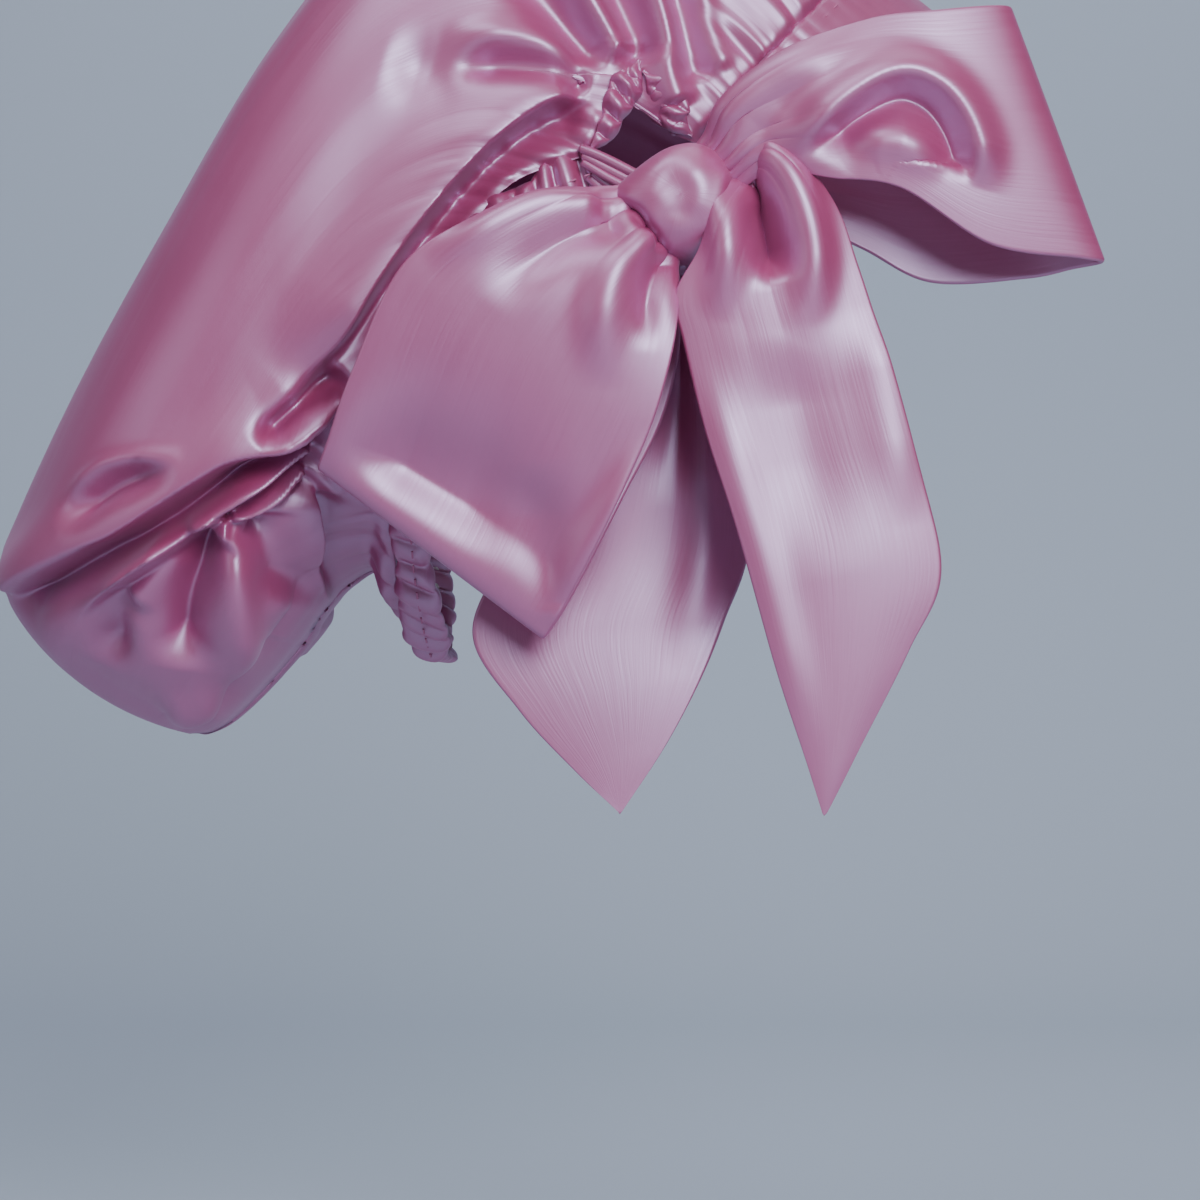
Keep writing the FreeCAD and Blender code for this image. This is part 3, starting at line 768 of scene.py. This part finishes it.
tailBackShape = {
    "rows": [
        (-4, -95, 20, 6, -95, 20, 1), (-7, -89, 10, 9, -89, 10, 1), (-14, -87.5, -8, 15, -87.5, -8, 1),
        (-28, -86, -38, 22, -86, -38, 1), (-43.4, -85.5, -71.4, 24.5, -85.5, -70, 1),
        (-52.5, -88, -95, 17.6, -88, -91, 1), (-39.5, -91.5, -115.8, 10.7, -91.5, -107.5, 1),
        (-24, -93.5, -132.4, 1, -93.5, -125.5, 0.5), (-11.5, -94.5, -144, -11.4, -94.5, -144, 0)],
    "thickness": 1.9, "count": 240, "across": 100, "gatherReach": (14, 36), "gatherLift": 1.6,
    "folds": [
        {"path": [(2, 8), (4, -20), (2, -60)], "width": 6, "lift": -4, "fade": (0.05, 0.5)},
        {"path": [(-6, -10), (-14, -50), (-20, -90)], "width": 9, "lift": 2.5, "fade": (0.2, 0.5)},
        {"path": [(12, -30), (12, -70), (4, -105)], "width": 6, "lift": 2.2, "fade": (0.3, 0.4)},
    ],
}
# where the bow's hinges cross, how far from it each ribbon starts and ends its bend, and how wide the
# gathered ribbon counts at the knot
bowShape = {"knot": (3.5, -101.0, 24.5), "bend": (4, 24), "gathered": 46, "pitch": 7.5, "hold": 6,
            "frontShare": 0.46, "frontFade": 0.06, "sink": 0.4, "sinkReach": 25}


def ribbonFolds(spec, layers):
    # shape function of a ribbon: gathers where the knot grips it, and the folds of its front layer
    def shape(surface, w, run):
        fromKnot = np.minimum(run, run[-1] - run if layers == 2 else run)
        at = np.broadcast_to((w * bowShape["gathered"])[None], surface.shape[:2])
        away = np.broadcast_to(np.maximum(fromKnot - bowShape["hold"], 0)[:, None], surface.shape[:2])
        gatherLift, seed = spec["gatherLift"], len(spec["rows"]) * 7
        shift = gathers(at, away, bowShape["pitch"], gatherLift, spec["gatherReach"], seed)
        side = surface.reshape(-1, 3)[:, [0, 2]]
        drawn = foldShift(side, spec["folds"]).reshape(surface.shape[:2])
        if layers == 2:
            front = 1 - smoothStep((run / run[-1] - bowShape["frontShare"]) / bowShape["frontFade"])
            drawn = drawn * front[:, None]
        shift = shift - gatherLift * bowShape["sink"] * np.exp(-(away / bowShape["sinkReach"]) ** 2)
        return shift + drawn
    return shape


def makeRibbonPiece(name, node, spec, layers):
    shape = ribbonFolds(spec, layers)
    sections = spec["rows"]
    piece = ribbon(name, sections, spec["count"], spec["across"], spec["thickness"], shape)
    finish(piece, satin, None, [node])
    # a direction from the knot towards the middle of one section of the tail or the loop's front is worked
    # out, but nothing uses it
    middle = np.array(sections[len(sections) // 2 if layers == 1 else 4], float)
    target = 0.5 * (middle[0:3] + middle[3:6])
    knotPoint = np.array(bowShape["knot"])
    along = target - knotPoint
    along /= np.linalg.norm(along)
    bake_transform(piece)
    return piece


loopFront = makeRibbonPiece("frontLoop", "loop_front", loopFrontShape, 2)
loopBack = makeRibbonPiece("rearLoop", "loop_back", loopBackShape, 2)
tailFront = makeRibbonPiece("frontTail", "tail_front", tailFrontShape, 1)
tailBack = makeRibbonPiece("rearTail", "tail_back", tailBackShape, 1)
print("loops and tails made")

knotShape = {
    "outline": [(-13.6, 26), (-8, 31), (-1, 36), (4, 38), (9, 38.4), (15, 35.8), (18.8, 30), (19.2, 24),
                (16.8, 15), (12, 8.2), (6, 5.8), (0.5, 7.5), (-3.5, 12.5), (-7, 18), (-12, 21),
                (-14.2, 23.5)],
    "middle": (5, 23), "depth": -104.0, "front": 17.5, "back": 11.0, "steps": 140, "rings": 70,
    "swell": 0.8, "clothAround": 110, "clothDown": 16,
    "folds": [
        {"path": [(-12, 23), (-5, 18), (-1, 11), (4, 7)], "width": 2.2, "lift": 1.2, "fade": (0.1, 0.1)},
        {"path": [(17, 31), (16, 22), (11, 10)], "width": 2.6, "lift": 1.4, "fade": (0.1, 0.2)},
        {"path": [(-3, 30), (3, 24), (5, 13)], "width": 5, "lift": -1.2, "fade": (0.3, 0.3)},
        {"path": [(5, 33), (10, 25), (9, 14)], "width": 4, "lift": 0.8, "fade": (0.3, 0.3)},
    ],
}


def makeKnot():
    outline = smoothRows(knotShape["outline"] + knotShape["outline"][:1], knotShape["steps"] + 1)[:-1]
    middle = np.array(knotShape["middle"], float)
    polar = np.linspace(0, np.pi, knotShape["rings"])
    radius = np.sin(polar) ** knotShape["swell"]
    depth = np.sign(np.cos(polar)) * np.abs(np.cos(polar)) ** knotShape["swell"]
    roundShape = np.linalg.norm(outline - middle, axis=1)
    turn = np.arctan2(outline[:, 1] - middle[1], outline[:, 0] - middle[0])
    rounded = middle + roundShape.mean() * np.stack([np.cos(turn), np.sin(turn)], 1)
    share = (radius ** 3)[:, None, None]
    flat = middle + radius[:, None, None] * (share * outline + (1 - share) * rounded - middle)
    y = np.where(depth > 0, -depth * knotShape["front"], -depth * knotShape["back"]) + knotShape["depth"]
    points = np.stack([flat[..., 0], np.broadcast_to(y[:, None], flat.shape[:2]), flat[..., 1]], -1)
    front = (polar < np.pi / 2)[:, None]
    drawn = foldShift(points.reshape(-1, 3)[:, [0, 2]], knotShape["folds"]).reshape(points.shape[:2])
    points[..., 1] -= drawn * front * np.sqrt(np.maximum(depth, 0))[:, None]
    around = np.linspace(0, knotShape["clothAround"], len(outline) + 1)
    knot = gridMesh("knotWrap", points, around, polar * knotShape["clothDown"], ring=True)
    tidyMesh(knot)
    finish(knot, satin, "bonnet", ["knot_wrap", "knot_core"])
    return knot


knot = makeKnot()

tieShapes = {
    "tie_front": [(14, -83, 46, 33, -81, 31, 1), (11, -87, 42, 28, -87, 26, 2), (6, -93, 36, 16, -94, 20, 2),
                  (2, -99, 31, 8, -100, 18, 1)],
    "tie_back": [(-22, -82, 42, -18, -82, 30, 1), (-14, -86, 38, -12, -87, 22, 2),
                 (-6, -92, 33, -5, -93, 18, 2), (0, -99, 30, 2, -99, 18, 1)],
    "count": 60, "across": 60, "thickness": 1.7,
    "gathered": 30, "pitch": 5.0, "lift": 2.0, "reach": (20, 40), "seed": 3,
}


def makeTie(name, node):
    look = tieShapes

    def shape(surface, w, run):
        at = np.broadcast_to((w * look["gathered"])[None], surface.shape[:2])
        away = np.zeros(surface.shape[:2])
        return gathers(at, away, look["pitch"], look["lift"], look["reach"], look["seed"])

    piece = ribbon(name, look[node], look["count"], look["across"], look["thickness"], shape)
    finish(piece, satin, "bonnet", [node])
    return piece


tieFront = makeTie("frontTie", "tie_front")
tieBack = makeTie("rearTie", "tie_back")
print("knot and ties made")


for node in ("band_stitches", "casing_stitches", "elastic_tacks"):
    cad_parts[node].data.materials.clear()
    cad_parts[node].data.materials.append(thread)
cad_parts["nape_elastic"].data.materials.clear()
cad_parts["nape_elastic"].data.materials.append(elastic)


def plainMaterial(name, colour, roughness):
    material = bpy.data.materials.new(name)
    material.use_nodes = True
    nodes, links = material.node_tree.nodes, material.node_tree.links
    surface = nodes["Principled BSDF"]
    surface.inputs["Roughness"].default_value = roughness
    noise = nodes.new("ShaderNodeTexNoise")
    noise.inputs["Scale"].default_value = 3.0
    ramp = nodes.new("ShaderNodeMix")
    ramp.data_type = "RGBA"
    ramp.inputs[6].default_value = (*colour, 1)
    ramp.inputs[7].default_value = (*[c * 0.96 for c in colour], 1)
    links.new(noise.outputs[0], ramp.inputs["Factor"])
    links.new(ramp.outputs[2], surface.inputs["Base Color"])
    return material


stageShape = {"floor": -0.34, "depth": 1.3, "front": -7.0, "wide": 8.0, "high": 6.0,
              "bend": 0.5, "bendSteps": 12, "colour": (0.52, 0.57, 0.66)}


def makeStage():
    floor, depth, radius = stageShape["floor"], stageShape["depth"], stageShape["bend"]
    profile = [(stageShape["front"], floor), (0.0, floor)]
    steps = stageShape["bendSteps"]
    for i in range(steps + 1):
        a = math.pi / 2 * i / steps
        profile.append((depth - radius + radius * math.sin(a), floor + radius - radius * math.cos(a)))
    profile.append((depth, stageShape["high"]))
    verts, faces = [], []
    for x in (-stageShape["wide"], stageShape["wide"]):
        verts += [(x, y, z) for y, z in profile]
    n = len(profile)
    for i in range(n - 1):
        faces.append((i, i + 1, n + i + 1, n + i))
    mesh = bpy.data.meshes.new("floor")
    mesh.from_pydata(verts, [], faces)
    mesh.polygons.foreach_set("use_smooth", [True] * len(faces))
    floorPiece = bpy.data.objects.new("floor", mesh)
    bpy.context.scene.collection.objects.link(floorPiece)
    mesh.materials.append(plainMaterial("pale floor", stageShape["colour"], 0.8))


lamps = {
    "window": {"at": (0.38, -1.20, 0.50), "look": (-0.03, -0.05, 0.0), "size": 0.75, "power": 21,
               "colour": (0.86, 0.92, 1.0)},
    "top": {"at": (-0.45, -0.55, 1.25), "look": (-0.05, 0, 0.0), "size": 0.9, "power": 9,
            "colour": (0.86, 0.92, 1.0)},
    "left fill": {"at": (-1.3, -0.6, 0.25), "look": (-0.05, 0, 0.0), "size": 0.8, "power": 2.0,
                  "colour": (0.84, 0.90, 1.0)},
    "backdrop": {"at": (0.3, 0.5, 1.5), "look": (0.2, 1.2, -0.1), "size": 1.2, "power": 7,
                 "colour": (0.9, 0.95, 1.0)},
}


def aim(thing, at, look):
    thing.location = at
    thing.rotation_euler = (Vector(look) - Vector(at)).to_track_quat("-Z", "Y").to_euler()


def makeLamps():
    for name, spec in lamps.items():
        data = bpy.data.lights.new(name, "AREA")
        data.shape = "DISK"
        data.size = spec["size"]
        data.energy = spec["power"]
        data.color = spec["colour"]
        lamp = bpy.data.objects.new(name, data)
        bpy.context.scene.collection.objects.link(lamp)
        aim(lamp, spec["at"], spec["look"])
    world = bpy.data.worlds.new("soft room")
    world.use_nodes = True
    background = world.node_tree.nodes["Background"]
    background.inputs["Color"].default_value = (0.72, 0.78, 0.88, 1)
    background.inputs["Strength"].default_value = 0.2
    bpy.context.scene.world = world


cameraShape = {"at": (-0.01705, -0.85, -0.08525), "lens": 82.3}


def makeCamera():
    data = bpy.data.cameras.new("camera")
    data.lens = cameraShape["lens"]
    data.sensor_width = 36
    camera = bpy.data.objects.new("camera", data)
    bpy.context.scene.collection.objects.link(camera)
    x, y, z = cameraShape["at"]
    aim(camera, (x, y, z), (x, 0, z))
    bpy.context.scene.camera = camera


makeStage()
makeLamps()
makeCamera()
print("stage, lamps and camera made")
